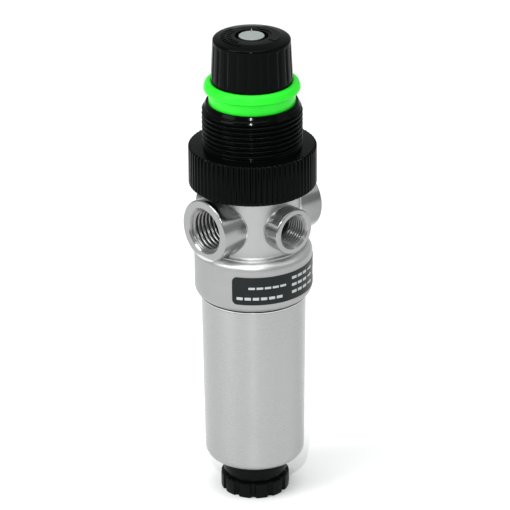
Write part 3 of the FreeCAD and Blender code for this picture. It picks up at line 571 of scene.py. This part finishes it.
def raised_on_crown(name, outline, top, rise):
    """Raised mark on the knob's crown from a closed outline of (angle in degrees, radius) points."""
    upper = []
    lower = []
    for angle, radius in outline:
        turn = math.radians(angle)
        height = crown_height(radius, top)
        spot = (radius * math.cos(turn) * MM, radius * math.sin(turn) * MM)
        upper.append((*spot, (height + rise) * MM))
        lower.append((*spot, (height - 0.15) * MM))
    count = len(outline)
    faces = [list(range(count)), list(range(2 * count - 1, count - 1, -1))]
    for index in range(count):
        following = (index + 1) % count
        faces.append([index, index + count, following + count, following])
    return finish_mesh(name, upper + lower, faces, sharp=30)


def curved_arrow(start, end, inner, outer, head):
    """Arrow that runs round the crown from start up to end, its head head degrees long."""
    neck = end - head
    middle = (inner + outer) / 2
    steps = 16
    outline = []
    for step in range(steps + 1):
        outline.append((start + (neck - start) * step / steps, outer))
    outline.append((neck, outer + 0.6))
    outline.append((end, middle))
    outline.append((neck, inner - 0.6))
    for step in range(steps + 1):
        outline.append((neck + (start - neck) * step / steps, inner))
    return outline


def knob_marks(top):
    """Generic marks on the crown: a smooth turning arrow on one half, two rows of blocks on the other."""
    marks = [raised_on_crown("turn_arrow", curved_arrow(-75, 35, 6.0, 8.4, 18), top, MARK_RISE)]
    for inner, outer, first, last, pitch in ((6.1, 7.3, 104, 196, 11.5), (8.0, 9.2, 92, 204, 9.0)):
        angle = first
        while angle < last:
            end = angle + pitch * 0.55
            block = [(angle, outer), (end, outer), (end, inner), (angle, inner)]
            marks.append(raised_on_crown("moulded_block", block, top, MARK_RISE))
            angle += pitch
    return marks


def make_knob_disc(material):
    bottom = low("knob_disc") / MM
    top = high("knob_disc") / MM
    points = rounded([
        (0.0, bottom),
        (3.8, bottom, 0.05),
        (3.8, top, 0.18),
        (3.0, top),
        (0.0, top + 0.02),
    ], closed=False)
    face = lathe("disc_face", points, 128, closed=False)
    tick = [(50, 3.5), (50, 5.3), (47, 5.3), (47, 3.5)]
    piece = join("disc_and_tick", [face, raised_on_crown("tick", tick, top - 0.1, 0.12)])
    return fit_out(piece, "knob", "grey_disc", material, "knob_disc")


def make_lock_ring(material):
    bottom = low("lock_ring") / MM
    top = high("lock_ring") / MM
    flange = NECK_TOP / MM + 3.5
    points = rounded([
        (10.95, bottom, 0.2),
        (12.93, bottom, 0.3),
        (12.93, flange - 0.05, 0.12),
        (13.85, flange, 0.2),
        (14.38, flange + 0.4, 0.3),
        (14.38, flange + 1.25, 0.5),
        (13.95, top - 0.55, 0.5),
        (13.1, top, 0.4),
        (12.42, top, 0.04),
        (12.36, top - 0.15, 0.0),
        (12.36, top - 0.5, 0.0),
        (10.95, top - 0.5, 0.05),
    ])
    piece = lathe("lock_ring_moulding", points, 256, sharp=35)
    return fit_out(piece, "knob", "green_ring", material, "lock_ring")


# ---------------------------------------------------------------- ports
# Pitch, radius at the crests, radius at the mouth's chamfer and distance of the port's face from the axis
LINE_THREAD = (25.4 / 18, 5.85, 7.1, 19.5)
GAUGE_THREAD = (25.4 / 27, 4.5, 5.35, 18.5)


def make_port_thread(name, mount, pitch, crest, mouth, face, material):
    """Female taper thread cut in a port, as a liner of the bore."""
    bore = mounts[mount]["dims"]["r_mm"]
    depth = mounts[mount]["dims"]["length_mm"]
    outline = [(bore + 0.02, -depth + 0.1, None)]
    outline.append((bore - 1.3, -depth + 0.1, None))
    outline.append((bore - 1.3, -depth + 0.25, "thread"))
    outline.append((bore - 1.3, -0.45, "thread"))
    outline.append((bore + 0.02, -0.36, None))
    points = divide(outline, "thread", pitch / 11)

    def shape(angle, r, z, tag):
        inside = -z
        root = bore - 0.03 - inside / 32
        ridge = crest - inside / 32
        cut = root - (root - ridge) * (1 - thread_depth(angle, z, pitch))
        cone = mouth - inside * 1.05
        return min(bore, max(cut, cone))

    piece = lathe(name, points, 160, shape, sharp=50)
    axis = Vector(mounts[mount]["axis"])
    turn = Vector((0, 0, 1)).rotation_difference(axis).to_matrix().to_4x4()
    piece.data.transform(Matrix.Translation(axis * face * MM + Vector((0, 0, PORT_LEVEL))) @ turn)
    return fit_out(piece, "housing", "stainless_cast", material)


# ---------------------------------------------------------------- bowl and drain
def make_bowl(material):
    bottom = low("bowl") / MM
    top = high("bowl") / MM
    rim = top - BEAD_DROP
    points = rounded([
        (5.05, bottom, 0.2),
        (15.165, bottom, 3.2),
        (15.79, rim - 0.02, 0.0),
        (16.25, rim, 0.12),
        (16.25, rim + 0.6, 0.15),
        (15.8, rim + 0.6, 0.0),
        (15.8, top, 0.1),
        (14.2, top, 0.1),
        (14.2, rim, 0.0),
        (13.6, bottom + 1.9, 1.6),
        (5.05, bottom + 1.9, 0.1),
    ], steps=10)
    piece = lathe("bowl_tube", points, 256, sharp=35)
    return fit_out(piece, "housing", "stainless_bowl", material, "bowl")


def make_drain_body(material):
    bottom = low("drain_body") / MM
    top = high("drain_body") / MM
    seat = low("bowl") / MM
    points = rounded([
        (2.6, bottom, 0.1),
        (9.2, bottom, 0.2),
        (9.2, bottom + 1.0, 0.1),
        (9.8, bottom + 1.25, 0.15),
        (9.8, seat - 1.0, 0.5),
        (9.1, seat - 0.05, 0.2),
        (5.0, seat - 0.05, 0.05),
        (5.0, top, 0.3),
        (1.5, top, 0.1),
        (1.5, top - 2.0, 0.05),
        (2.6, top - 2.0, 0.05),
    ])
    piece = lathe("drain_housing", points, 192, sharp=35)
    return fit_out(piece, "housing", "black_drain", material, "drain_body")


def make_drain_knob(material):
    """Finger grip with a rounded groove between each two lobes."""
    top = high("drain_knob") / MM
    radius = reach("drain_knob") / MM
    lobes = 12
    points = rounded([
        (2.0, 0.0, 0.1),
        (4.2, 0.0, 0.2),
        (4.6, 0.8, 0.2),
        (8.2, 0.8, 0.2),
        (8.6, 0.0, 0.2),
        (radius - 0.45, 0.0, 0.0, "lobe"),
        (radius - 0.12, 0.12, 0.0, "lobe"),
        (radius, 0.45, 0.0, "lobe"),
        (radius, top - 0.5, 0.0, "lobe"),
        (radius - 0.14, top - 0.14, 0.0, "lobe"),
        (radius - 0.5, top, 0.0, "lobe"),
        (2.0, top, 0.1),
    ])

    def shape(angle, r, z, tag):
        share = ((angle - math.radians(15)) * lobes / (2 * math.pi)) % 1.0
        offset = min(share, 1 - share) * 2 * math.pi / lobes * radius
        groove = max(0.0, 1 - (offset / 0.85) ** 2) ** 0.5
        return r - 0.75 * groove

    piece = lathe("drain_grip", points, lobes * 28, shape, sharp=35)
    return fit_out(piece, "drain_handle", "black_drain", material, "drain_knob")


# ---------------------------------------------------------------- label
LABEL_MIDDLE = -90.0  # degrees from +X
LABEL_HALF = 62.5
FILM = 0.12  # thickness in mm


def on_collar(across, up, lift):
    """Point on the collar: across in mm round from the label's middle, up in mm from its lower edge."""
    radius = reach("label") - FILM * MM + lift * MM
    angle = math.radians(LABEL_MIDDLE) + across * MM / reach("label")
    return (radius * math.cos(angle), radius * math.sin(angle), low("label") + up * MM)


def wrapped(name, outline, base, lift):
    """Thin sheet between two lifts off the collar, wrapped from a flat outline of (across, up) in mm."""
    grid = 0.5
    build = bmesh.new()
    corners = [build.verts.new((across, up, 0)) for across, up in outline]
    build.faces.new(corners)
    spot = min(across for across, _ in outline) + grid
    end = max(across for across, _ in outline)
    while spot < end:
        everything = build.verts[:] + build.edges[:] + build.faces[:]
        bmesh.ops.bisect_plane(build, geom=everything, plane_co=(spot, 0, 0), plane_no=(1, 0, 0))
        spot += grid
    extruded = bmesh.ops.extrude_face_region(build, geom=build.faces[:])
    moved = [item for item in extruded["geom"] if isinstance(item, bmesh.types.BMVert)]
    for vertex in moved:
        vertex.co.z = 1
    for vertex in build.verts:
        vertex.co = on_collar(vertex.co.x, vertex.co.y, lift if vertex.co.z > 0.5 else base)
    bmesh.ops.recalc_face_normals(build, faces=build.faces)
    mesh = bpy.data.meshes.new(name)
    build.to_mesh(mesh)
    build.free()
    mesh.polygons.foreach_set("use_smooth", [True] * len(mesh.polygons))
    mesh.set_sharp_from_angle(angle=math.radians(35))
    piece = bpy.data.objects.new(name, mesh)
    bpy.context.scene.collection.objects.link(piece)
    return piece


def soft_rectangle(left, bottom, right, top, radius, steps=6):
    """Outline of a rectangle with rounded corners."""
    outline = []
    corners = (
        (right - radius, bottom + radius, -90),
        (right - radius, top - radius, 0),
        (left + radius, top - radius, 90),
        (left + radius, bottom + radius, 180),
    )
    for across, up, start in corners:
        for step in range(steps + 1):
            angle = math.radians(start + 90 * step / steps)
            outline.append((across + radius * math.cos(angle), up + radius * math.sin(angle)))
    return outline


def arrow_outline(left, up, length, height):
    """Straight arrow that points along +across."""
    half = height / 2
    stem = height * 0.2
    neck = length - height * 0.8
    shape = [
        (0, -stem), (neck, -stem), (neck, -half), (length, 0), (neck, half), (neck, stem), (0, stem)
    ]
    return [(left + across, up + rise) for across, rise in shape]


def disc_outline(across, up, radius):
    count = 20
    turns = [2 * math.pi / count * index for index in range(count)]
    return [(across + radius * math.cos(turn), up + radius * math.sin(turn)) for turn in turns]


def printed_row(left, up, height, count, width, gap):
    """Row of plain printed dashes, all alike."""
    row = []
    for _ in range(count):
        row.append(soft_rectangle(left, up, left + width, up + height, 0.12, steps=2))
        left += width + gap
    return row


def make_label(film, ink):
    """Blank film with generic print: dashes, arrows and a disc that say nothing."""
    half = math.radians(LABEL_HALF) * reach("label") / MM
    height = (high("label") - low("label")) / MM
    base = wrapped("label_film", soft_rectangle(-half, 0, half, height, 1.5), 0.0, FILM)
    fit_out(base, "housing", "label_black", film, "label")
    left = -half
    marks = printed_row(left + 5.0, 5.1, 0.7, 5, 2.0, 0.45)
    marks += printed_row(left + 1.4, 1.6, 0.9, 6, 1.9, 0.55)
    for up in (6.6, 4.3, 2.0):
        marks += printed_row(left + 19.0, up, 0.9, 3, 1.9, 0.55)
        marks.append(arrow_outline(left + 26.7, up + 0.45, 3.0, 1.4))
    marks.append(disc_outline(left + 33.0, 4.4, 1.6))
    pieces = [wrapped("label_mark", outline, 0.10, 0.135) for outline in marks]
    printed = join("label_marks", pieces)
    fit_out(printed, "housing", "label_black", ink)


# ---------------------------------------------------------------- inner pieces, left in shape
def give(node, material):
    """Sets a frame node's material, leaving its shape alone."""
    node.data.materials.clear()
    node.data.materials.append(material)


def finish_inner_pieces():
    """Finishes the pieces inside and gives the drain's black plastic, which the outer drain shares."""
    brass = fine_metal("turned_brass", (0.55, 0.40, 0.17, 1), (0.72, 0.55, 0.27, 1), 0.24)
    steel = fine_metal("spring_steel", grey(0.42), grey(0.56), 0.26)
    acetal = moulded("acetal", (0.62, 0.61, 0.57, 1), (0.78, 0.77, 0.73, 1), 0.38, 0.8 * MM, 0.01 * MM)
    dark = (0.012, 0.012, 0.013, 1)
    rubber = moulded("nitrile", dark, (0.03, 0.03, 0.031, 1), 0.62, 0.5 * MM, 0.02 * MM)
    dark = (0.48, 0.48, 0.45, 1)
    porous = moulded("sintered", dark, (0.82, 0.82, 0.78, 1), 0.75, 0.12 * MM, 0.08 * MM)
    dark = (0.0015, 0.002, 0.002, 1)
    drain = moulded("drain_black", dark, (0.004, 0.005, 0.005, 1), 0.3, 0.6 * MM, 0.012 * MM, 0.07)
    finishes = {
        "brass": brass, "spring_steel": steel, "acetal": acetal,
        "rubber": rubber, "sintered": porous, "black_drain": drain,
    }
    for subpart in frame["record"]["subparts"]:
        material = finishes.get(subpart["material_slot"])
        if material:
            give(frame["nodes"][subpart["node"]], material)
    return drain


# ---------------------------------------------------------------- studio
CAMERA_AZIMUTH = -41.5
CAMERA_ELEVATION = 24.5
CAMERA_DISTANCE = 1.025
CAMERA_LENS = 240.0
CAMERA_ROLL = -0.45
AIM_LEVEL = 77.75 * MM
AIM_SIDE = 0.5 * MM


def from_centre(azimuth, elevation, distance):
    """Offset from what is looked at, with the azimuth in degrees from -Y towards +X."""
    turn = math.radians(azimuth)
    rise = math.radians(elevation)
    level = math.cos(rise) * distance
    return Vector((math.sin(turn) * level, -math.cos(turn) * level, math.sin(rise) * distance))


def make_camera():
    data = bpy.data.cameras.new("camera")
    data.lens = CAMERA_LENS
    data.sensor_width = 36.0
    data.clip_start = 0.01
    camera = bpy.data.objects.new("camera", data)
    turn = math.radians(CAMERA_AZIMUTH)
    aim = Vector((0, 0, AIM_LEVEL)) + Vector((math.cos(turn), math.sin(turn), 0)) * AIM_SIDE
    back = from_centre(CAMERA_AZIMUTH, CAMERA_ELEVATION, CAMERA_DISTANCE)
    look = (-back).to_track_quat("-Z", "Y").to_matrix().to_4x4()
    roll = Matrix.Rotation(math.radians(CAMERA_ROLL), 4, "Z")
    camera.matrix_world = Matrix.Translation(aim + back) @ look @ roll
    bpy.context.scene.collection.objects.link(camera)
    bpy.context.scene.camera = camera


def softbox(name, azimuth, elevation, distance, width, height, power):
    """Rectangular lamp that faces the middle of the part; sizes in metres, power in watts."""
    data = bpy.data.lights.new(name, "AREA")
    data.shape = "RECTANGLE"
    data.size = width
    data.size_y = height
    data.energy = power
    lamp = bpy.data.objects.new(name, data)
    back = from_centre(azimuth, elevation, distance)
    look = (-back).to_track_quat("-Z", "Y").to_matrix().to_4x4()
    lamp.matrix_world = Matrix.Translation(Vector((0, 0, AIM_LEVEL)) + back) @ look
    bpy.context.scene.collection.objects.link(lamp)


def make_floor():
    size = 3.0
    corners = [(-size, -size, 0), (size, -size, 0), (size, size, 0), (-size, size, 0)]
    mesh = bpy.data.meshes.new("studio_floor")
    mesh.from_pydata(corners, [], [(0, 1, 2, 3)])
    floor = bpy.data.objects.new("studio_floor", mesh)
    bpy.context.scene.collection.objects.link(floor)
    f = Finish("studio_floor", Specular_IOR_Level=0.0)
    cloud = f.noise(2.0)
    floor.data.materials.append(
        f.feed(Base_Color=f.mix(cloud, grey(0.95), grey(0.97)), Roughness=0.9 + cloud * 0.05)
    )


def make_world():
    world = bpy.data.worlds.new("studio")
    world.use_nodes = True
    background = world.node_tree.nodes["Background"]
    background.inputs["Color"].default_value = (0.93, 0.97, 0.96, 1)
    background.inputs["Strength"].default_value = 0.5
    bpy.context.scene.world = world


def make_studio():
    make_floor()
    make_world()
    softbox("key", CAMERA_AZIMUTH - 62, 38, 1.1, 0.55, 0.7, 6.5)
    softbox("fill", CAMERA_AZIMUTH + 80, 35, 1.2, 0.6, 0.6, 1.0)
    softbox("top", CAMERA_AZIMUTH, 84, 1.2, 1.0, 1.0, 8.6)
    softbox("front_spot", CAMERA_AZIMUTH - 3.5, 36, 1.3, 0.02, 0.02, 5.0)
    bpy.context.scene.view_settings.view_transform = "Standard"


# ---------------------------------------------------------------- making
def main():
    make_camera()
    make_studio()
    drain = finish_inner_pieces()
    give(frame["nodes"]["body"], blasted_stainless())
    make_bonnet(glossy_black("glossy_black"))
    make_knob(glossy_black("knob_black"))
    make_knob_disc(matt_grey())
    make_lock_ring(green_plastic())
    cut = threaded_stainless()
    make_port_thread("inlet_thread", "inlet_port", *LINE_THREAD, cut)
    make_port_thread("outlet_thread", "outlet_port", *LINE_THREAD, cut)
    make_port_thread("front_gauge_thread", "gauge_port_front", *GAUGE_THREAD, cut)
    make_port_thread("back_gauge_thread", "gauge_port_back", *GAUGE_THREAD, cut)
    make_bowl(turned_stainless())
    make_drain_body(drain)
    make_drain_knob(drain)
    make_label(label_film(), label_ink())


main()
